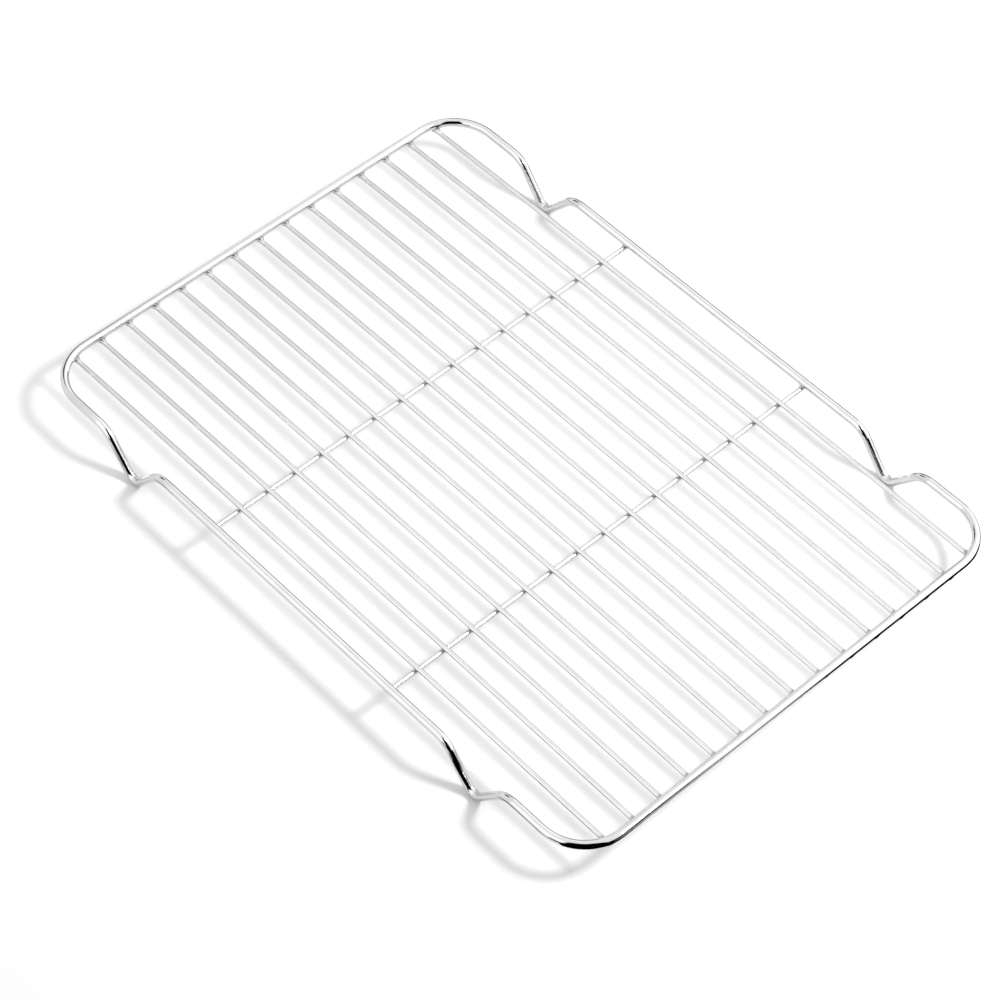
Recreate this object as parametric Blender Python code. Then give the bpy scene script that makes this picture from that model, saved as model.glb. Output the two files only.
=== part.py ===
"""Wire cooling rack: a bent perimeter wire with four integral feet, a grid of long wires and two cross wires.

Metres, +Z up. +X runs along the rack's length. The origin is on the surface that the rack stands on, under
the middle of the rack.
"""

import math

import bmesh
import bpy
from mathutils import Vector

# Wire stock.
FRAME_WIRE_RADIUS = 0.0024
GRID_WIRE_RADIUS = 0.0014
WELD_GAP = 0.0003

# Perimeter frame, measured to the wire's centre line.
FRAME_HALF_LENGTH = 0.2042
FRAME_HALF_WIDTH = 0.1467
CORNER_RADIUS = 0.0270

# Feet: V-shaped dips in the long sides, measured to the wire's centre line.
FOOT_CENTRE_X = 0.1305
FOOT_HALF_SPREAD = 0.0211
FOOT_DEPTH = 0.0225
FOOT_TIP_RADIUS = 0.0063
FOOT_SHOULDER_RADIUS = 0.0146

# Grid of long wires. They lie on the cross wires and dip to the frame at their ends.
LONG_WIRE_COUNT = 15
LONG_WIRE_PITCH = 0.01825
LONG_WIRE_END_DIP = 0.0017
CROSS_WIRE_X = 0.0672
DIP_EXPONENT = 1.6

# Facets. An even number of sides with a half-step turn puts a flat facet on top and at the bottom.
FRAME_SIDES = 16
GRID_SIDES = 12
CORNER_SEGMENTS = 8
TIP_SEGMENTS = 7
SHOULDER_SEGMENTS = 6
DIP_SEGMENTS = 5
SHARP_EDGE_DEGREES = 50.0
LEVEL_TOLERANCE = 1e-6
HALVINGS = 60

# Heights of the centre lines above the surface that the rack stands on.
FRAME_Z = FRAME_WIRE_RADIUS + FOOT_DEPTH
CROSS_WIRE_Z = FRAME_Z - FRAME_WIRE_RADIUS - WELD_GAP - GRID_WIRE_RADIUS
LONG_WIRE_Z = CROSS_WIRE_Z + 2.0 * GRID_WIRE_RADIUS + WELD_GAP

UP = Vector((0.0, 0.0, 1.0))


def clear_scene():
    """Removes every object of the open scene."""
    for obj in list(bpy.data.objects):
        bpy.data.objects.remove(obj, do_unlink=True)


def chrome_material(name, colour, roughness):
    """A bright plated-steel material."""
    material = bpy.data.materials.new(name)
    material.use_nodes = True
    shader = material.node_tree.nodes["Principled BSDF"]
    shader.inputs["Base Color"].default_value = (*colour, 1.0)
    shader.inputs["Metallic"].default_value = 1.0
    shader.inputs["Roughness"].default_value = roughness
    return material


def fillet(before, vertex, after, radius, segments):
    """Points of the arc that rounds one vertex of a bent wire."""
    to_before = (before - vertex).normalized()
    to_after = (after - vertex).normalized()
    half_angle = to_before.angle(to_after) / 2.0
    bisector = (to_before + to_after).normalized()
    centre = vertex + bisector * (radius / math.sin(half_angle))
    start = vertex + to_before * (radius / math.tan(half_angle)) - centre
    end = vertex + to_after * (radius / math.tan(half_angle)) - centre
    sweep = start.angle(end)
    points = []
    for step in range(segments + 1):
        part = step / segments
        blend = start * math.sin((1.0 - part) * sweep) + end * math.sin(part * sweep)
        points.append(centre + blend / math.sin(sweep))
    return points


def tip_vertex_depth():
    """Depth of the sharp V whose level tip segment lies at FOOT_DEPTH, found by halving the interval."""
    low = FOOT_DEPTH
    high = 2.0 * FOOT_DEPTH
    for _ in range(HALVINGS):
        depth = (low + high) / 2.0
        half_angle = math.atan2(FOOT_HALF_SPREAD, depth)
        half_step = (math.pi / 2.0 - half_angle) / TIP_SEGMENTS
        reach = depth - FOOT_TIP_RADIUS * (1.0 / math.sin(half_angle) - math.cos(half_step))
        if reach < FOOT_DEPTH:
            low = depth
        else:
            high = depth
    return (low + high) / 2.0


def foot_points(centre_x, y, direction):
    """Centre line of one foot, walked along the long side in the given direction of X."""
    shoulder_in = Vector((centre_x - direction * FOOT_HALF_SPREAD, y, FRAME_Z))
    shoulder_out = Vector((centre_x + direction * FOOT_HALF_SPREAD, y, FRAME_Z))
    tip = Vector((centre_x, y, FRAME_Z - tip_vertex_depth()))
    run_in = shoulder_in - Vector((direction, 0.0, 0.0))
    run_out = shoulder_out + Vector((direction, 0.0, 0.0))
    points = fillet(run_in, shoulder_in, tip, FOOT_SHOULDER_RADIUS, SHOULDER_SEGMENTS)
    points += fillet(shoulder_in, tip, shoulder_out, FOOT_TIP_RADIUS, TIP_SEGMENTS)
    points += fillet(tip, shoulder_out, run_out, FOOT_SHOULDER_RADIUS, SHOULDER_SEGMENTS)
    return points


def corner_stations(sign_x, sign_y, start_angle):
    """Stations of one rounded corner, walked anticlockwise: a point and its outward direction."""
    centre_x = sign_x * (FRAME_HALF_LENGTH - CORNER_RADIUS)
    centre_y = sign_y * (FRAME_HALF_WIDTH - CORNER_RADIUS)
    centre = Vector((centre_x, centre_y, FRAME_Z))
    stations = []
    for step in range(CORNER_SEGMENTS + 1):
        angle = math.radians(start_angle + 90.0 * step / CORNER_SEGMENTS)
        outward = Vector((math.cos(angle), math.sin(angle), 0.0))
        stations.append((centre + outward * CORNER_RADIUS, outward))
    return stations


def long_side_stations(sign_y, direction):
    """Stations of the two feet of one long side, in walking order."""
    outward = Vector((0.0, sign_y, 0.0))
    stations = []
    for order in (-1.0, 1.0):
        centre_x = order * direction * FOOT_CENTRE_X
        for point in foot_points(centre_x, sign_y * FRAME_HALF_WIDTH, direction):
            stations.append((point, outward))
    return stations


def frame_stations():
    """The whole closed centre line, walked anticlockwise seen from above."""
    stations = []
    stations += corner_stations(1.0, 1.0, 0.0)
    stations += long_side_stations(1.0, -1.0)
    stations += corner_stations(-1.0, 1.0, 90.0)
    stations += corner_stations(-1.0, -1.0, 180.0)
    stations += long_side_stations(-1.0, 1.0)
    stations += corner_stations(1.0, -1.0, 270.0)
    return stations


def add_section(mesh, centre, side, up, radius, sides):
    """One ring of a wire. Its facets, not its edges, touch the circle of the wire's radius."""
    corner_radius = radius / math.cos(math.pi / sides)
    ring = []
    for index in range(sides):
        angle = 2.0 * math.pi * (index + 0.5) / sides
        offset = side * (corner_radius * math.cos(angle)) + up * (corner_radius * math.sin(angle))
        ring.append(mesh.verts.new(centre + offset))
    return ring


def join_rings(mesh, first, second):
    """Quads between two neighbouring rings."""
    count = len(first)
    for index in range(count):
        following = (index + 1) % count
        mesh.faces.new((first[index], first[following], second[following], second[index]))


def bend_scale(before, here, after):
    """How much a ring widens in the plane of a bend, so that its facets keep their distance from the axis."""
    turn = (here - before).angle(after - here)
    return 1.0 / math.cos(turn / 2.0)


def is_level(*points):
    """True where the frame turns sideways at the height of the deck, and not down into a foot."""
    return all(abs(point.z - FRAME_Z) < LEVEL_TOLERANCE for point in points)


def finish_object(name, mesh, material):
    """Turns the bmesh into a smooth-shaded object with its faces pointing out."""
    bmesh.ops.recalc_face_normals(mesh, faces=mesh.faces)
    data = bpy.data.meshes.new(name)
    mesh.to_mesh(data)
    mesh.free()
    data.shade_smooth()
    data.set_sharp_from_angle(angle=math.radians(SHARP_EDGE_DEGREES))
    data.materials.append(material)
    obj = bpy.data.objects.new(name, data)
    bpy.context.scene.collection.objects.link(obj)
    return obj


def build_perimeter_frame(material):
    """One closed bent wire: four rounded corners and four feet."""
    stations = frame_stations()
    count = len(stations)
    mesh = bmesh.new()
    rings = []
    for index, (centre, outward) in enumerate(stations):
        before = stations[index - 1][0]
        after = stations[(index + 1) % count][0]
        tangent = ((centre - before).normalized() + (after - centre).normalized()).normalized()
        side = outward.copy()
        up = outward.cross(tangent)
        if is_level(before, centre, after):
            side *= bend_scale(before, centre, after)
        else:
            up *= bend_scale(before, centre, after)
        rings.append(add_section(mesh, centre, side, up, FRAME_WIRE_RADIUS, FRAME_SIDES))
    for index in range(count):
        join_rings(mesh, rings[index], rings[(index + 1) % count])
    return finish_object("perimeter_frame", mesh, material)


def build_open_wire(name, points, side, radius, material):
    """A wire with flat cut ends along points that lie in one upright plane."""
    mesh = bmesh.new()
    rings = []
    last = len(points) - 1
    for index, centre in enumerate(points):
        before = points[max(index - 1, 0)]
        after = points[min(index + 1, last)]
        tangent = (after - before).normalized()
        up = side.cross(tangent)
        if up.z < 0.0:
            up.negate()
        if index in (0, last):
            up = UP.copy()
        rings.append(add_section(mesh, centre, side, up, radius, GRID_SIDES))
    for index in range(last):
        join_rings(mesh, rings[index], rings[index + 1])
    mesh.faces.new(rings[0])
    mesh.faces.new(rings[-1])
    return finish_object(name, mesh, material)


def long_wire_reach(y):
    """Distance from the middle to a long wire's cut end, WELD_GAP short of the frame's inner face."""
    wire_edge = abs(y) + GRID_WIRE_RADIUS / math.cos(math.pi / GRID_SIDES)
    past_straight = wire_edge - (FRAME_HALF_WIDTH - CORNER_RADIUS)
    if past_straight <= 0.0:
        return FRAME_HALF_LENGTH - FRAME_WIRE_RADIUS - WELD_GAP
    half_step = math.pi / (4.0 * CORNER_SEGMENTS)
    inner_radius = (CORNER_RADIUS - FRAME_WIRE_RADIUS - WELD_GAP) * math.cos(half_step)
    arc = math.sqrt(inner_radius**2 - past_straight**2)
    return FRAME_HALF_LENGTH - CORNER_RADIUS + arc


def long_wire_points(y):
    """Centre line of a long wire: level over the cross wires, dipping smoothly to each end."""
    reach = long_wire_reach(y)
    half = []
    for step in range(DIP_SEGMENTS + 1):
        part = step / DIP_SEGMENTS
        x = CROSS_WIRE_X + (reach - CROSS_WIRE_X) * part
        half.append(Vector((x, y, LONG_WIRE_Z - LONG_WIRE_END_DIP * part**DIP_EXPONENT)))
    mirrored = [Vector((-point.x, point.y, point.z)) for point in reversed(half)]
    return mirrored + half


def build_long_wires(material):
    """Fifteen long wires at one pitch, counted from the -Y side."""
    middle = (LONG_WIRE_COUNT - 1) / 2.0
    for index in range(LONG_WIRE_COUNT):
        y = (index - middle) * LONG_WIRE_PITCH
        name = f"long_wire_{index + 1:02d}"
        build_open_wire(name, long_wire_points(y), Vector((0.0, 1.0, 0.0)), GRID_WIRE_RADIUS, material)


def build_cross_wires(material):
    """Two straight cross wires under the long wires and under the frame's long sides."""
    for name, x in (("cross_wire_01", -CROSS_WIRE_X), ("cross_wire_02", CROSS_WIRE_X)):
        ends = [Vector((x, -FRAME_HALF_WIDTH, CROSS_WIRE_Z)), Vector((x, FRAME_HALF_WIDTH, CROSS_WIRE_Z))]
        build_open_wire(name, ends, Vector((1.0, 0.0, 0.0)), GRID_WIRE_RADIUS, material)


def main():
    clear_scene()
    frame_chrome = chrome_material("frame_chrome", (0.64, 0.64, 0.65), 0.06)
    grid_chrome = chrome_material("grid_chrome", (0.63, 0.63, 0.64), 0.08)
    cross_chrome = chrome_material("cross_chrome", (0.62, 0.62, 0.63), 0.10)
    build_perimeter_frame(frame_chrome)
    build_long_wires(grid_chrome)
    build_cross_wires(cross_chrome)


main()
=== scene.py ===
"""Looks of a wire cooling rack: bright chrome wires, melted into each other where they are welded.

Metres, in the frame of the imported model. +X runs along the rack, +Z up, and the feet stand on z = 0.
"""

import math

import bpy
import numpy as np
from mathutils import Matrix, Vector


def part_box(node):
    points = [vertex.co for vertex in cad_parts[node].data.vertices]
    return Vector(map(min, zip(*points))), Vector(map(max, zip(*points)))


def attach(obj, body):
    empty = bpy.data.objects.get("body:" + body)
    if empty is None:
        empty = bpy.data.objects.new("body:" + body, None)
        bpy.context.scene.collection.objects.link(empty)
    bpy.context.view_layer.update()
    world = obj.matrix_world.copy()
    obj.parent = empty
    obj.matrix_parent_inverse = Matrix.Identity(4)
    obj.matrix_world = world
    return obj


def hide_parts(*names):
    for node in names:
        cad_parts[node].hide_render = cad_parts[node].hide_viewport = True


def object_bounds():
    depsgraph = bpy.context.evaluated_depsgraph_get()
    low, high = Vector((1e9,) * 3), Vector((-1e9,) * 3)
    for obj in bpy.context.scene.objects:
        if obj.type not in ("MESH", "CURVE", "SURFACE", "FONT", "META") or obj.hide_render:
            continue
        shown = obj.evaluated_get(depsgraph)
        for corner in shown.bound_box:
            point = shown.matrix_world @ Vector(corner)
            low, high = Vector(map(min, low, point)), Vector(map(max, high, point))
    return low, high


# Weld shape. Two surfaces flow into each other where they are closer than the blend distance, and where
# they meet each one swells by the blend share of it. The heat of a weld, and the painted shade in its joint,
# fade out over its reach.
GRID_BLEND = 0.0013
FRAME_BLEND = 0.0028
BLEND_SHARE = 0.25
BLEND_STEPS = 24
HEAT_AND_SHADE_REACH = 0.0045

# Fineness of the meshes: sides of the wires, steps along straight stretches near the welds and elsewhere,
# how far from a weld the fine steps go, and steps of each bend.
FRAME_SIDES = 32
GRID_SIDES = 24
FINE_STEP = 0.00035
COARSE_STEP = 0.006
WELD_REACH = 0.0042
CORNER_STEPS = 28
TIP_STEPS = 18
SHOULDER_STEPS = 12

# Cut ends of the thin wires, which bulge by this share of the wire's radius.
CAP_RINGS = 4
CAP_BULGE = 0.35

# Bends, feet, welds and dips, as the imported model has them.
CORNER_RADIUS = 0.0270
FOOT_X = 0.1305
FOOT_HALF_SPREAD = 0.0211
FOOT_TIP_RADIUS = 0.0063
FOOT_SHOULDER_RADIUS = 0.0146
LONG_WIRE_END_DIP = 0.0017
DIP_EXPONENT = 1.6
WELD_GAP = 0.0003

# How closely the depth of a foot's bends is worked out.
FOOT_TOLERANCE = 1e-9

# Chrome: lighter tone, darker tone, least roughness, greatest roughness and strength of the marks.
FRAME_CHROME = ((0.64, 0.64, 0.645), (0.60, 0.60, 0.605), 0.03, 0.08, 0.25)
GRID_CHROME = ((0.63, 0.63, 0.635), (0.59, 0.59, 0.595), 0.04, 0.10, 0.30)
CROSS_CHROME = ((0.72, 0.72, 0.725), (0.68, 0.68, 0.685), 0.16, 0.24, 0.30)

# Detail of the chrome: the drawing marks' scales along a wire, round it and in depth, the scale and detail of
# each noise, the values between which clouds and wear take effect, and the depth of the relief.
MARK_STRETCH = (60.0, 9000.0, 1.0)
MARK_NOISE = (1.0, 3.0)
CLOUD_NOISE = (90.0, 4.0)
PIT_NOISE = (2600.0, 2.0)
CLOUD_RANGE = (0.35, 0.65)
WEAR_RANGE = (0.15, 0.40)
RELIEF_DEPTH = 0.00002

# Plating burnt by a weld, with painted shade in the joint: the heat at which it starts and is complete, its
# dark tint, partly burn and partly painted shade, and how far that covers the plating, its extra roughness,
# and how strong its pits are beside the drawing marks.
BURN_AND_SHADE_RANGE = (0.45, 1.0)
BURN_AND_SHADE_TINT = (0.26, 0.25, 0.24)
BURN_AND_SHADE_COVER = 0.75
BURN_ROUGHNESS = 0.12
BURN_PITS = 3.0

# Camera: the point it looks at and its distance, the heading and pitch of its line of sight, its roll, its
# lens and sensor in millimetres, and how far it sees.
CAMERA_TARGET = Vector((0.0186, -0.0268, 0.0252))
CAMERA_DISTANCE = 1.6788
CAMERA_HEADING = math.radians(-45.44)
CAMERA_PITCH = math.radians(51.63)
CAMERA_ROLL = math.radians(2.21)
CAMERA_LENS = 118.4
CAMERA_SENSOR = 36.0
CAMERA_SIGHT = 100.0

# Floor: its width, its white, the darker grey of its painted shade where the light falls off beyond the near
# left corner, and the values of X - Y between which the white turns into the painted shade.
FLOOR_SIZE = 30.0
FLOOR_WHITE = 0.58
FLOOR_PAINTED_SHADE = 0.51
PAINTED_SHADE_RANGE = (0.0, 0.45)

# Room light. FAR_SKY is the brightness towards -X and TOP_SKY the brightness elsewhere. SIDE_SKY is added at
# both sides, and NEAR_SKY towards +X and +Y. The ranges are where each begins and is complete, as parts of
# the unit vector that points in a direction.
FAR_SKY = 1.13
TOP_SKY = 1.22
SIDE_SKY = 0.38
NEAR_SKY = 0.20
LEFT_RANGE = (-0.30, -0.45)
RIGHT_RANGE = (0.40, 0.52)
NEAR_RANGE = (-0.25, 0.05)
NEAR_RIGHT_RANGE = (0.20, 0.42)
NOT_FAR_RANGE = (-0.53, -0.49)

# Key light.
KEY_PLACE = (0.665, 0.53, 1.17)
KEY_TARGET = (0.0, 0.0, 0.0)
KEY_SIZE = 0.30
KEY_POWER = 19.0

# Dark cards. The wall cards stand on a circle round the rack: azimuths from +X and elevations, in degrees.
CARD_GREYS = {"card_black": 0.0, "card_dark": 0.06, "card_grey": 0.22}
CARD_RADIUS = 1.3
CARD_STEPS = 24
WALL_CARDS = (("card_camera", (-66.0, -8.0), (0.0, 74.0), "card_black"),
              ("card_low", (-86.0, -66.0), (0.0, 14.0), "card_black"),
              ("card_front", (-8.0, 20.0), (0.0, 25.0), "card_black"),
              ("card_back", (158.0, 186.0), (24.0, 46.0), "card_dark"),
              ("card_right", (96.0, 140.0), (0.0, 20.0), "card_grey"))

# Outlines of the cards on the floor, as X and Y: round the near left corner, along the middle and the right
# part of the near side, and beyond the right side. FOOT_CARD and FOOT_FAN are measured from the floor under
# the middle of a left foot.
FLOOR_CARD_HEIGHT = 0.0005
CORNER_CARD = ((0.190, -0.153), (0.194, -0.149), (0.201, -0.1437), (0.209, -0.131), (0.213, -0.119),
               (0.230, -0.090), (1.200, -0.090), (1.200, -1.200), (0.420, -1.200))
MIDDLE_CARD = ((0.230, -0.090), (0.226, -0.030), (0.216, 0.030), (0.500, 0.030), (0.500, -0.090))
SIDE_CARD = ((0.216, 0.030), (0.209, 0.060), (0.205, 0.119), (0.202, 0.133), (0.196, 0.146),
             (0.330, 0.450), (0.600, 0.450), (0.600, 0.030))
RIGHT_CARD = ((-1.200, 0.172), (0.140, 0.172), (0.170, 0.159), (0.196, 0.146), (0.330, 0.450),
              (0.330, 1.200), (-1.200, 1.200))
FOOT_CARD = ((-0.014, -0.065), (-0.014, -0.026), (0.004, -0.026), (0.006, -0.065))
FOOT_FAN = ((-0.014, -0.065), (-0.014, -0.024), (0.004, -0.024), (0.070, -0.085), (0.270, -0.300),
            (0.500, -0.600), (0.250, -0.600), (0.020, -0.085))
FLOOR_CARDS = (("card_corner", CORNER_CARD, "card_black"), ("card_middle", MIDDLE_CARD, "card_grey"),
               ("card_side", SIDE_CARD, "card_black"), ("card_beyond", RIGHT_CARD, "card_grey"))


def box_of(node):
    """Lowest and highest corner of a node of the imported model, as arrays."""
    low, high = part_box(node)
    return np.array(low), np.array(high)


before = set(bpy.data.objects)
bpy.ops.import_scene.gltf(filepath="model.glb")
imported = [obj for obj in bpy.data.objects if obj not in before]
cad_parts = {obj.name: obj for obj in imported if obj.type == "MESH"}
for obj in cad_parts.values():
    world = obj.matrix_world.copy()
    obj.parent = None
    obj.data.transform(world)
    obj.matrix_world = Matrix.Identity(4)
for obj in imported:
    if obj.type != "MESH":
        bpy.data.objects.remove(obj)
CAD_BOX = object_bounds()

LONG_NODES = sorted(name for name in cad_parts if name.startswith("long_wire"))
CROSS_NODES = sorted(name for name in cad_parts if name.startswith("cross_wire"))

frame_high = box_of("perimeter_frame")[1]
cross_low, cross_high = box_of(CROSS_NODES[-1])
first_low = box_of(LONG_NODES[0])[0]
last_low = box_of(LONG_NODES[-1])[0]

GRID_RADIUS = (cross_high[2] - cross_low[2]) / 2.0
CROSS_Z = (cross_high[2] + cross_low[2]) / 2.0
CROSS_X = (cross_high[0] + cross_low[0]) / 2.0
CROSS_END = cross_high[1]
FRAME_UNDERSIDE = CROSS_Z + GRID_RADIUS + WELD_GAP
FRAME_Z = FRAME_UNDERSIDE + (frame_high[2] - FRAME_UNDERSIDE) / 2.0
FRAME_RADIUS = frame_high[2] - FRAME_Z
HALF_LENGTH = frame_high[0] - FRAME_RADIUS
HALF_WIDTH = frame_high[1] - FRAME_RADIUS
FOOT_DEPTH = FRAME_Z - FRAME_RADIUS
LONG_Z = CROSS_Z + 2.0 * GRID_RADIUS + WELD_GAP
PITCH = (last_low[1] - first_low[1]) / (len(LONG_NODES) - 1)
MIDDLE = (len(LONG_NODES) - 1) / 2.0
LONG_REACH = HALF_LENGTH - FRAME_RADIUS - WELD_GAP


def long_wire_y(index):
    """Y of one long wire, counted from the -Y side."""
    return (index - MIDDLE) * PITCH


def long_wire_z(x):
    """Height of the long wires' centre lines: level over the cross wires, dipping to the frame."""
    part = np.clip((np.abs(x) - CROSS_X) / (LONG_REACH - CROSS_X), 0.0, None)
    return LONG_Z - LONG_WIRE_END_DIP * part**DIP_EXPONENT


def long_wire_end(y):
    """X where a long wire's centre line meets the frame's, seen from above."""
    past = np.clip(np.abs(y) - (HALF_WIDTH - CORNER_RADIUS), 0.0, None)
    return HALF_LENGTH - CORNER_RADIUS + np.sqrt(CORNER_RADIUS**2 - past**2)


def frame_distance(points):
    """Distance to the surface of the level part of the frame, a rounded rectangle of round wire."""
    across = np.abs(points[..., 0]) - (HALF_LENGTH - CORNER_RADIUS)
    along = np.abs(points[..., 1]) - (HALF_WIDTH - CORNER_RADIUS)
    outside = np.hypot(np.clip(across, 0.0, None), np.clip(along, 0.0, None))
    inside = np.clip(np.maximum(across, along), None, 0.0)
    sideways = outside + inside - CORNER_RADIUS
    return np.hypot(sideways, points[..., 2] - FRAME_Z) - FRAME_RADIUS


def long_distance(points):
    """Distance to the surface of the nearest long wire."""
    index = np.clip(np.rint(points[..., 1] / PITCH), -MIDDLE, MIDDLE)
    wire_y = index * PITCH
    beyond = np.clip(np.abs(points[..., 0]) - long_wire_end(wire_y), 0.0, None)
    height = points[..., 2] - long_wire_z(points[..., 0])
    return np.sqrt((points[..., 1] - wire_y) ** 2 + height**2 + beyond**2) - GRID_RADIUS


def cross_distance(points):
    """Distance to the surface of the nearer cross wire."""
    beyond = np.clip(np.abs(points[..., 1]) - CROSS_END, 0.0, None)
    sideways = np.abs(points[..., 0]) - CROSS_X
    return np.sqrt(sideways**2 + (points[..., 2] - CROSS_Z) ** 2 + beyond**2) - GRID_RADIUS


def melt(points, normals, neighbours):
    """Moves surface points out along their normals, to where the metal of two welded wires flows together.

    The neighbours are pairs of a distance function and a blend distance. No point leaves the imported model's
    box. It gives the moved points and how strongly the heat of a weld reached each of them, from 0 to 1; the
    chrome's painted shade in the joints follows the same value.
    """
    grown = np.zeros(points.shape[:-1])
    heat = np.zeros(points.shape[:-1])
    low, high = CAD_BOX
    for distance, blend in neighbours:
        swell = np.zeros(points.shape[:-1])
        for _ in range(BLEND_STEPS):
            gap = np.abs(swell - distance(points + normals * swell[..., None]))
            target = BLEND_SHARE * blend * np.clip(1.0 - gap / blend, 0.0, None) ** 2
            swell = (swell + target) / 2.0
        grown = np.maximum(grown, swell)
        near = np.clip(1.0 - np.clip(distance(points), 0.0, None) / HEAT_AND_SHADE_REACH, 0.0, None)
        heat = np.maximum(heat, near)
    return np.clip(points + normals * grown[..., None], low, high), heat


def stops(start, end, welds):
    """Places along a straight stretch: close together at the welds and far apart between them."""
    places = {start, end}
    count = max(int(abs(end - start) / COARSE_STEP), 1)
    places.update(start + (end - start) * step / count for step in range(1, count))
    for weld in welds:
        steps = int(WELD_REACH / FINE_STEP)
        places.update(weld + step * FINE_STEP for step in range(-steps, steps + 1))
    low = min(start, end)
    high = max(start, end)
    ordered = sorted(place for place in places if low <= place <= high)
    kept = [ordered[0]]
    for place in ordered[1:-1]:
        if place - kept[-1] > FINE_STEP / 2.0 and high - place > FINE_STEP / 2.0:
            kept.append(place)
    kept.append(ordered[-1])
    return kept if end > start else kept[::-1]


def tube(centres, sides, ups, radius, facets):
    """Rings of points and their outward normals round a centre line."""
    angle = (2.0 * math.pi * (np.arange(facets) + 0.5) / facets)[None, :, None]
    normals = sides[:, None, :] * np.cos(angle) + ups[:, None, :] * np.sin(angle)
    return centres[:, None, :] + normals * radius, normals


def tube_mesh(name, rings, heat, radius, closed, caps=None):
    """A mesh from rings of points, with its length and girth as UV and the welds' heat and painted shade as
    an attribute.
    """
    count, facets = rings.shape[:2]
    vertices = [tuple(point) for point in rings.reshape(-1, 3)]
    heat_and_shade_values = list(heat.reshape(-1))
    centres = rings.mean(axis=1)
    steps = np.linalg.norm(np.diff(centres, axis=0, append=centres[:1]), axis=1)
    run = np.concatenate([[0.0], np.cumsum(steps)])
    girth = 2.0 * math.pi * radius
    faces = []
    places = []
    for ring in range(count if closed else count - 1):
        following = (ring + 1) % count
        for facet in range(facets):
            beside = (facet + 1) % facets
            faces.append((ring * facets + facet, ring * facets + beside,
                          following * facets + beside, following * facets + facet))
            left = girth * facet / facets
            right = girth * (facet + 1) / facets
            places += [(run[ring], left), (run[ring], right), (run[ring + 1], right), (run[ring + 1], left)]
    if caps is not None:
        for ring, tip in ((0, caps[0]), (count - 1, caps[1])):
            vertices.append(tuple(tip))
            heat_and_shade_values.append(1.0)
            last = len(vertices) - 1
            for facet in range(facets):
                beside = (facet + 1) % facets
                pair = (ring * facets + facet, ring * facets + beside)
                faces.append((last, pair[1], pair[0]) if ring == 0 else (last, pair[0], pair[1]))
                places += [(run[ring], 0.0), (run[ring], girth), (run[ring], girth / 2.0)]
    mesh = bpy.data.meshes.new(name)
    mesh.from_pydata(vertices, [], faces)
    layer = mesh.uv_layers.new(name="wire")
    layer.data.foreach_set("uv", np.array(places, float).ravel())
    # Closeness to a weld, for the burnt plating and for the painted shade in the joints.
    attribute = mesh.attributes.new("weld_heat_and_shade", "FLOAT", "POINT")
    attribute.data.foreach_set("value", np.array(heat_and_shade_values, np.float32))
    mesh.update()
    mesh.shade_smooth()
    return mesh


def place_piece(name, mesh, material, slot, *nodes):
    """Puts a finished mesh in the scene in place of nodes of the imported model."""
    mesh.materials.append(material)
    piece = bpy.data.objects.new(name, mesh)
    bpy.context.scene.collection.objects.link(piece)
    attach(piece, "root")
    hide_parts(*nodes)


def end_cap(centre, ring, outward, radius):
    """Rings that round off a cut end, and its tip."""
    rings = []
    for step in range(1, CAP_RINGS):
        turn = 0.5 * math.pi * step / CAP_RINGS
        shrunk = centre + (ring - centre) * math.cos(turn)
        rings.append(shrunk + outward * (CAP_BULGE * radius * math.sin(turn)))
    return np.array(rings), centre + outward * (CAP_BULGE * radius)


def open_wire(name, centres, side, radius, neighbours):
    """Mesh of a wire with cut, slightly rounded ends. Its centre line lies in one upright plane."""
    centres = np.array(centres)
    ahead = np.gradient(centres, axis=0)
    ahead /= np.linalg.norm(ahead, axis=1)[:, None]
    sides = np.repeat(np.array([side], float), len(centres), axis=0)
    ups = np.cross(sides, ahead)
    ups *= np.where(ups[:, 2] < 0.0, -1.0, 1.0)[:, None]
    points, normals = tube(centres, sides, ups, radius, GRID_SIDES)
    points, heat = melt(points, normals, neighbours)
    low_rings, low_tip = end_cap(centres[0], points[0], -ahead[0], radius)
    high_rings, high_tip = end_cap(centres[-1], points[-1], ahead[-1], radius)
    rings = np.concatenate([low_rings[::-1], points, high_rings])
    heat_and_shade_rings = np.concatenate([np.ones(low_rings.shape[:2]), heat, np.ones(high_rings.shape[:2])])
    return tube_mesh(name, rings, heat_and_shade_rings, radius, False, (low_tip, high_tip))


def fillet(before, vertex, after, radius, steps):
    """Points of the arc that rounds one vertex of a bent wire."""
    to_before = (before - vertex).normalized()
    to_after = (after - vertex).normalized()
    half_angle = to_before.angle(to_after) / 2.0
    bisector = (to_before + to_after).normalized()
    centre = vertex + bisector * (radius / math.sin(half_angle))
    start = vertex + to_before * (radius / math.tan(half_angle)) - centre
    end = vertex + to_after * (radius / math.tan(half_angle)) - centre
    sweep = start.angle(end)
    points = []
    for step in range(steps + 1):
        part = step / steps
        blend = start * math.sin((1.0 - part) * sweep) + end * math.sin(part * sweep)
        points.append(centre + blend / math.sin(sweep))
    return points


def tip_vertex_depth():
    """Depth of the sharp V whose rounded tip reaches FOOT_DEPTH, found by halving the interval."""
    low = FOOT_DEPTH
    high = 2.0 * FOOT_DEPTH
    while high - low > FOOT_TOLERANCE:
        depth = (low + high) / 2.0
        half_angle = math.atan2(FOOT_HALF_SPREAD, depth)
        reach = depth - FOOT_TIP_RADIUS * (1.0 / math.sin(half_angle) - 1.0)
        if reach < FOOT_DEPTH:
            low = depth
        else:
            high = depth
    return (low + high) / 2.0


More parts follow.
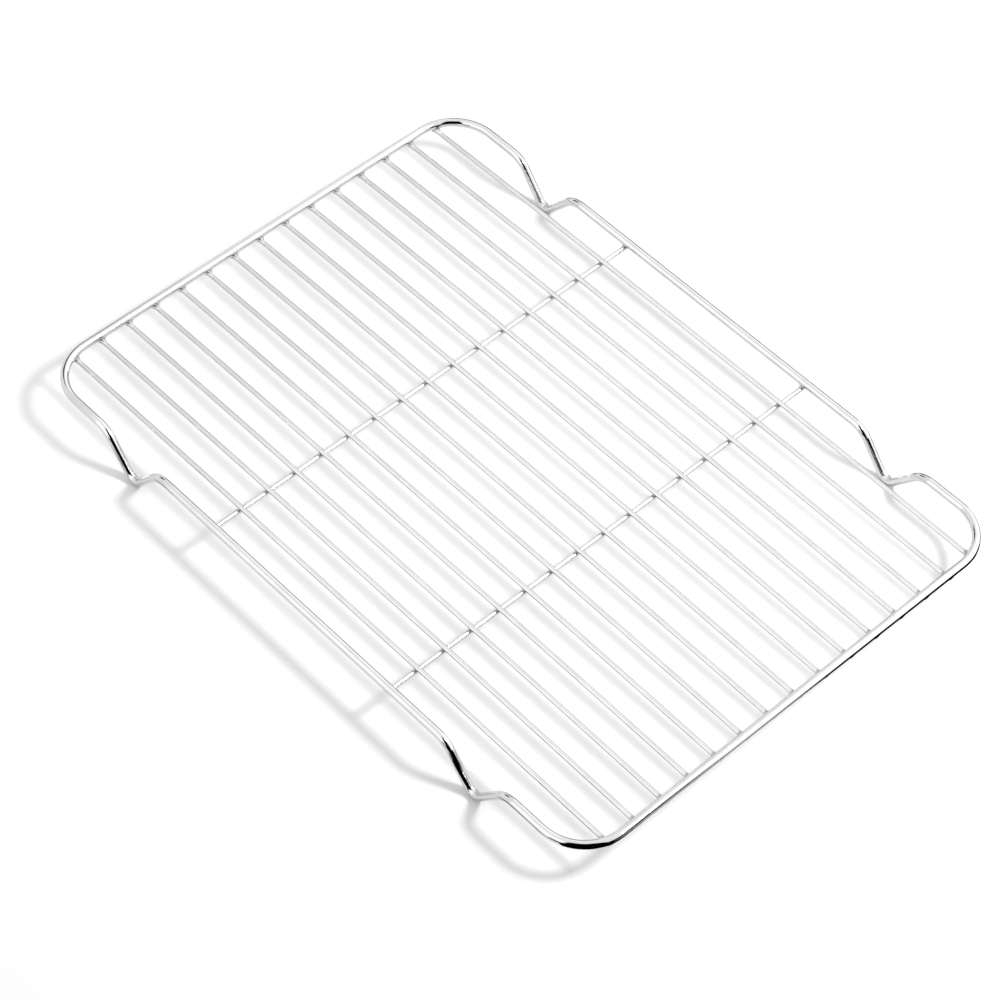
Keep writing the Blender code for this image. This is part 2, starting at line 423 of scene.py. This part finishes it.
def foot_points(centre_x, y, direction):
    """Centre line of one foot, walked along the long side in the given direction of X."""
    shoulder_in = Vector((centre_x - direction * FOOT_HALF_SPREAD, y, FRAME_Z))
    shoulder_out = Vector((centre_x + direction * FOOT_HALF_SPREAD, y, FRAME_Z))
    tip = Vector((centre_x, y, FRAME_Z - tip_vertex_depth()))
    run_in = shoulder_in - Vector((direction, 0.0, 0.0))
    run_out = shoulder_out + Vector((direction, 0.0, 0.0))
    points = fillet(run_in, shoulder_in, tip, FOOT_SHOULDER_RADIUS, SHOULDER_STEPS)
    points += fillet(shoulder_in, tip, shoulder_out, FOOT_TIP_RADIUS, TIP_STEPS)
    points += fillet(tip, shoulder_out, run_out, FOOT_SHOULDER_RADIUS, SHOULDER_STEPS)
    return points


def corner_stations(sign_x, sign_y, start_angle):
    """Points and outward directions of one rounded corner, walked anticlockwise."""
    centre_x = sign_x * (HALF_LENGTH - CORNER_RADIUS)
    centre_y = sign_y * (HALF_WIDTH - CORNER_RADIUS)
    centre = Vector((centre_x, centre_y, FRAME_Z))
    stations = []
    for step in range(CORNER_STEPS + 1):
        angle = math.radians(start_angle + 90.0 * step / CORNER_STEPS)
        outward = Vector((math.cos(angle), math.sin(angle), 0.0))
        stations.append((centre + outward * CORNER_RADIUS, outward))
    return stations


def short_side_stations(sign_x):
    """Points and outward directions of one short side, walked anticlockwise."""
    end = sign_x * (HALF_WIDTH - CORNER_RADIUS)
    welds = [long_wire_y(index) for index in range(len(LONG_NODES))]
    outward = Vector((sign_x, 0.0, 0.0))
    return [(Vector((sign_x * HALF_LENGTH, y, FRAME_Z)), outward) for y in stops(-end, end, welds)[1:-1]]


def long_side_stations(sign_y):
    """Points and outward directions of one long side with its two feet, walked anticlockwise."""
    direction = -sign_y
    outward = Vector((0.0, sign_y, 0.0))
    y = sign_y * HALF_WIDTH
    first = foot_points(-direction * FOOT_X, y, direction)
    second = foot_points(direction * FOOT_X, y, direction)
    start = -direction * (HALF_LENGTH - CORNER_RADIUS)
    between = stops(first[-1].x, second[0].x, (-CROSS_X, CROSS_X))[1:-1]
    before = stops(start, first[0].x, ())[1:-1]
    after = stops(second[-1].x, -start, ())[1:-1]
    points = [Vector((x, y, FRAME_Z)) for x in before] + first
    points += [Vector((x, y, FRAME_Z)) for x in between] + second
    points += [Vector((x, y, FRAME_Z)) for x in after]
    return [(point, outward) for point in points]


def build_frame(material):
    """The perimeter wire with its four feet, and the metal that flows into the welds."""
    stations = short_side_stations(1.0) + corner_stations(1.0, 1.0, 0.0) + long_side_stations(1.0)
    stations += corner_stations(-1.0, 1.0, 90.0) + short_side_stations(-1.0)
    stations += corner_stations(-1.0, -1.0, 180.0) + long_side_stations(-1.0)
    stations += corner_stations(1.0, -1.0, 270.0)
    centres = np.array([point for point, _ in stations])
    sides = np.array([outward for _, outward in stations])
    ahead = np.roll(centres, -1, axis=0) - centres
    ahead /= np.linalg.norm(ahead, axis=1)[:, None]
    ahead = ahead + np.roll(ahead, 1, axis=0)
    ahead /= np.linalg.norm(ahead, axis=1)[:, None]
    ups = np.cross(sides, ahead)
    points, normals = tube(centres, sides, ups, FRAME_RADIUS, FRAME_SIDES)
    points, heat = melt(points, normals, [(long_distance, FRAME_BLEND), (cross_distance, FRAME_BLEND)])
    mesh = tube_mesh("rack_frame", points, heat, FRAME_RADIUS, True)
    place_piece("rack_frame", mesh, material, "frame_chrome", "perimeter_frame")


def build_long_wires(material):
    """The long wires, welded to both cross wires and sunk into the underside of the frame's short sides."""
    neighbours = [(cross_distance, GRID_BLEND), (frame_distance, FRAME_BLEND)]
    for index, node in enumerate(LONG_NODES):
        y = long_wire_y(index)
        end = float(long_wire_end(y))
        places = stops(-end, end, (-end, -CROSS_X, CROSS_X, end))
        centres = [(x, y, float(long_wire_z(x))) for x in places]
        name = node.replace("long_wire", "rack_long_wire")
        mesh = open_wire(name, centres, (0.0, 1.0, 0.0), GRID_RADIUS, neighbours)
        place_piece(name, mesh, material, "grid_chrome", node)


def build_cross_wires(material):
    """The two cross wires, welded under the long wires and under the frame's long sides."""
    neighbours = [(long_distance, GRID_BLEND), (frame_distance, FRAME_BLEND)]
    welds = [-CROSS_END, CROSS_END] + [long_wire_y(index) for index in range(len(LONG_NODES))]
    for node, x in zip(CROSS_NODES, (-CROSS_X, CROSS_X)):
        centres = [(x, y, CROSS_Z) for y in stops(-CROSS_END, CROSS_END, welds)]
        name = node.replace("cross_wire", "rack_cross_wire")
        mesh = open_wire(name, centres, (1.0, 0.0, 0.0), GRID_RADIUS, neighbours)
        place_piece(name, mesh, material, "cross_chrome", node)


def add_node(nodes, kind, **settings):
    """A shader node with some of its properties set."""
    node = nodes.new(kind)
    for key, value in settings.items():
        setattr(node, key, value)
    return node


def ranged(nodes, links, source, low, high, to_low, to_high):
    """Maps a value's range to another one, clamped, and gives the result's socket."""
    node = add_node(nodes, "ShaderNodeMapRange", clamp=True)
    node.inputs["From Min"].default_value = low
    node.inputs["From Max"].default_value = high
    node.inputs["To Min"].default_value = to_low
    node.inputs["To Max"].default_value = to_high
    links.new(source, node.inputs["Value"])
    return node.outputs["Result"]


def calculated(nodes, links, operation, first, second):
    """A Math node on two sockets or numbers, and its result's socket."""
    node = add_node(nodes, "ShaderNodeMath", operation=operation)
    for socket, value in zip(node.inputs, (first, second)):
        if isinstance(value, (int, float)):
            socket.default_value = value
        else:
            links.new(value, socket)
    return node.outputs["Value"]


def noise(nodes, links, vector, scale, detail):
    """A noise texture's value on given coordinates."""
    node = add_node(nodes, "ShaderNodeTexNoise")
    node.inputs["Scale"].default_value = scale
    node.inputs["Detail"].default_value = detail
    links.new(vector, node.inputs["Vector"])
    return node.outputs["Fac"]


def blended(nodes, links, factor, first, second):
    """Two colours, mixed by a factor. Each is a socket or three numbers."""
    node = add_node(nodes, "ShaderNodeMix", data_type="RGBA")
    links.new(factor, node.inputs["Factor"])
    sockets = [socket for socket in node.inputs if socket.type == "RGBA"]
    for socket, value in zip(sockets, (first, second)):
        if isinstance(value, tuple):
            socket.default_value = (*value, 1.0)
        else:
            links.new(value, socket)
    return next(socket for socket in node.outputs if socket.type == "RGBA")


def chrome(name, light, dark, smooth, rough, mark_strength):
    """Plated steel: slightly uneven bright metal with faint drawing marks, dulled by heat and darkened by
    painted shade at the welds.
    """
    material = bpy.data.materials.new(name)
    material.use_nodes = True
    nodes = material.node_tree.nodes
    links = material.node_tree.links
    shader = nodes["Principled BSDF"]
    shader.inputs["Metallic"].default_value = 1.0

    place = add_node(nodes, "ShaderNodeTexCoord").outputs["Object"]
    wire = add_node(nodes, "ShaderNodeUVMap", uv_map="wire").outputs["UV"]
    heat = add_node(nodes, "ShaderNodeAttribute", attribute_name="weld_heat_and_shade").outputs["Fac"]
    burnt_and_shaded = ranged(nodes, links, heat, *BURN_AND_SHADE_RANGE, 0.0, 1.0)

    stretched = add_node(nodes, "ShaderNodeMapping")
    stretched.inputs["Scale"].default_value = MARK_STRETCH
    links.new(wire, stretched.inputs["Vector"])
    marks = noise(nodes, links, stretched.outputs["Vector"], *MARK_NOISE)
    clouds = noise(nodes, links, place, *CLOUD_NOISE)
    pits = noise(nodes, links, place, *PIT_NOISE)

    plated = blended(nodes, links, ranged(nodes, links, clouds, *CLOUD_RANGE, 0.0, 1.0), light, dark)
    # Dark tint at the welds: partly burnt plating, partly painted shade in the joints.
    covered = calculated(nodes, links, "MULTIPLY", burnt_and_shaded, BURN_AND_SHADE_COVER)
    tinted = blended(nodes, links, covered, plated, BURN_AND_SHADE_TINT)
    links.new(tinted, shader.inputs["Base Color"])

    worn = calculated(nodes, links, "MULTIPLY", marks, clouds)
    dull = ranged(nodes, links, worn, *WEAR_RANGE, smooth, rough)
    scorched = calculated(nodes, links, "MULTIPLY", burnt_and_shaded, BURN_ROUGHNESS)
    links.new(calculated(nodes, links, "ADD", dull, scorched), shader.inputs["Roughness"])

    pitted = calculated(nodes, links, "MULTIPLY", pits, burnt_and_shaded)
    uneven = calculated(nodes, links, "MULTIPLY", pitted, BURN_PITS)
    height = calculated(nodes, links, "ADD", marks, uneven)
    bump = add_node(nodes, "ShaderNodeBump")
    bump.inputs["Strength"].default_value = mark_strength
    bump.inputs["Distance"].default_value = RELIEF_DEPTH
    links.new(height, bump.inputs["Height"])
    links.new(bump.outputs["Normal"], shader.inputs["Normal"])
    return material


def plain_material(name, grey):
    """A matt grey for what stands round the object."""
    material = bpy.data.materials.new(name)
    material.use_nodes = True
    shader = material.node_tree.nodes["Principled BSDF"]
    shader.inputs["Base Color"].default_value = (grey, grey, grey, 1.0)
    shader.inputs["Roughness"].default_value = 1.0
    shader.inputs["Specular IOR Level"].default_value = 0.0
    return material


def stage_mesh(name, vertices, faces, material):
    """A mesh that isn't part of the object."""
    mesh = bpy.data.meshes.new(name)
    mesh.from_pydata(vertices, [], faces)
    mesh.materials.append(material)
    piece = bpy.data.objects.new(name, mesh)
    bpy.context.scene.collection.objects.link(piece)
    return piece


def build_floor():
    """A plain pale floor with painted shade: a touch darker where the light falls off beyond the near left
    corner.
    """
    half = FLOOR_SIZE / 2.0
    corners = [(-half, -half, 0.0), (half, -half, 0.0), (half, half, 0.0), (-half, half, 0.0)]
    material = plain_material("floor_white_and_painted_shade", FLOOR_WHITE)
    nodes = material.node_tree.nodes
    links = material.node_tree.links
    place = add_node(nodes, "ShaderNodeSeparateXYZ")
    links.new(add_node(nodes, "ShaderNodeTexCoord").outputs["Object"], place.inputs["Vector"])
    # Painted shade: the floor's colour darkens towards the near left corner, where the light falls off.
    toward = calculated(nodes, links, "SUBTRACT", place.outputs["X"], place.outputs["Y"])
    painted_shade = ranged(nodes, links, toward, *PAINTED_SHADE_RANGE, 0.0, 1.0)
    colour = blended(nodes, links, painted_shade, (FLOOR_WHITE,) * 3, (FLOOR_PAINTED_SHADE,) * 3)
    links.new(colour, nodes["Principled BSDF"].inputs["Base Color"])
    stage_mesh("floor", corners, [(0, 1, 2, 3)], material)


def only_in_reflections(piece):
    """Leaves a dark studio card to the chrome's reflections: it takes no light from the floor and no view."""
    piece.visible_camera = False
    piece.visible_diffuse = False
    piece.visible_shadow = False
    piece.visible_transmission = False
    piece.visible_volume_scatter = False


def build_wall_card(name, azimuths, elevations, material):
    """A curved upright card round the object, between two azimuths from +X and two elevations, in degrees."""
    bottom, top = (CARD_RADIUS * math.tan(math.radians(elevation)) for elevation in elevations)
    vertices = []
    for step in range(CARD_STEPS + 1):
        angle = math.radians(azimuths[0] + (azimuths[1] - azimuths[0]) * step / CARD_STEPS)
        x = CARD_RADIUS * math.cos(angle)
        y = CARD_RADIUS * math.sin(angle)
        vertices.append((x, y, bottom))
        vertices.append((x, y, top))
    faces = [(2 * step, 2 * step + 2, 2 * step + 3, 2 * step + 1) for step in range(CARD_STEPS)]
    only_in_reflections(stage_mesh(name, vertices, faces, material))


def build_floor_card(name, outline, material):
    """A dark sheet on the floor beside the rack."""
    vertices = [(x, y, FLOOR_CARD_HEIGHT) for x, y in outline]
    only_in_reflections(stage_mesh(name, vertices, [tuple(range(len(vertices)))], material))


def build_cards():
    """Dark cards that give the chrome its black accents, as a photographer's flags and clothes do."""
    materials = {name: plain_material(name, grey) for name, grey in CARD_GREYS.items()}
    for name, azimuths, elevations, look in WALL_CARDS:
        build_wall_card(name, azimuths, elevations, materials[look])
    for name, outline, look in FLOOR_CARDS:
        build_floor_card(name, outline, materials[look])
    for name, x, outline in (("card_foot_far", -FOOT_X, FOOT_CARD), ("card_foot_near", FOOT_X, FOOT_FAN)):
        build_floor_card(name, [(x + over, y - HALF_WIDTH) for over, y in outline], materials["card_black"])


def area_light(name, location, target, power, size):
    """A round soft light that faces a point."""
    data = bpy.data.lights.new(name, "AREA")
    data.shape = "DISK"
    data.size = size
    data.energy = power
    light = bpy.data.objects.new(name, data)
    light.location = location
    light.rotation_euler = (Vector(location) - Vector(target)).to_track_quat("Z", "Y").to_euler()
    bpy.context.scene.collection.objects.link(light)


def build_lights():
    """A bright room, darker towards -X and brighter at the sides, and one small key light for the shadows."""
    world = bpy.data.worlds.new("studio")
    world.use_nodes = True
    nodes = world.node_tree.nodes
    links = world.node_tree.links
    toward = add_node(nodes, "ShaderNodeSeparateXYZ")
    links.new(add_node(nodes, "ShaderNodeTexCoord").outputs["Generated"], toward.inputs["Vector"])
    to_left = ranged(nodes, links, toward.outputs["Y"], *LEFT_RANGE, 0.0, SIDE_SKY)
    to_right = ranged(nodes, links, toward.outputs["Y"], *RIGHT_RANGE, 0.0, SIDE_SKY)
    to_near = ranged(nodes, links, toward.outputs["X"], *NEAR_RANGE, 0.0, NEAR_SKY)
    past_middle = ranged(nodes, links, toward.outputs["Y"], *NEAR_RIGHT_RANGE, 0.0, 1.0)
    near_right = calculated(nodes, links, "MULTIPLY", to_near, past_middle)
    sides = calculated(nodes, links, "ADD", to_left, to_right)
    brighter = calculated(nodes, links, "ADD", sides, near_right)
    above = calculated(nodes, links, "ADD", brighter, TOP_SKY - FAR_SKY)
    not_far = ranged(nodes, links, toward.outputs["X"], *NOT_FAR_RANGE, 0.0, 1.0)
    added = calculated(nodes, links, "MULTIPLY", above, not_far)
    sky = calculated(nodes, links, "ADD", added, FAR_SKY)
    links.new(sky, nodes["Background"].inputs["Strength"])
    nodes["Background"].inputs["Color"].default_value = (1.0, 1.0, 1.0, 1.0)
    bpy.context.scene.world = world
    area_light("key", KEY_PLACE, KEY_TARGET, KEY_POWER, KEY_SIZE)


def build_camera():
    """The camera, which looks down on the rack from the near left, as a person at a table does."""
    ahead = Vector((math.cos(CAMERA_PITCH) * math.sin(CAMERA_HEADING),
                    math.cos(CAMERA_PITCH) * math.cos(CAMERA_HEADING), -math.sin(CAMERA_PITCH)))
    level_right = ahead.cross(Vector((0.0, 0.0, 1.0))).normalized()
    level_up = level_right.cross(ahead)
    right = level_right * math.cos(CAMERA_ROLL) + level_up * math.sin(CAMERA_ROLL)
    up = right.cross(ahead)
    data = bpy.data.cameras.new("camera")
    data.lens = CAMERA_LENS
    data.sensor_width = CAMERA_SENSOR
    data.clip_end = CAMERA_SIGHT
    camera = bpy.data.objects.new("camera", data)
    turn = Matrix((right, up, -ahead)).transposed()
    camera.matrix_world = Matrix.Translation(CAMERA_TARGET - ahead * CAMERA_DISTANCE) @ turn.to_4x4()
    bpy.context.scene.collection.objects.link(camera)
    bpy.context.scene.camera = camera


build_frame(chrome("frame_chrome_look", *FRAME_CHROME))
build_long_wires(chrome("grid_chrome_look", *GRID_CHROME))
build_cross_wires(chrome("cross_chrome_look", *CROSS_CHROME))
build_floor()
build_cards()
build_lights()
build_camera()
bpy.context.scene.view_settings.view_transform = "Standard"
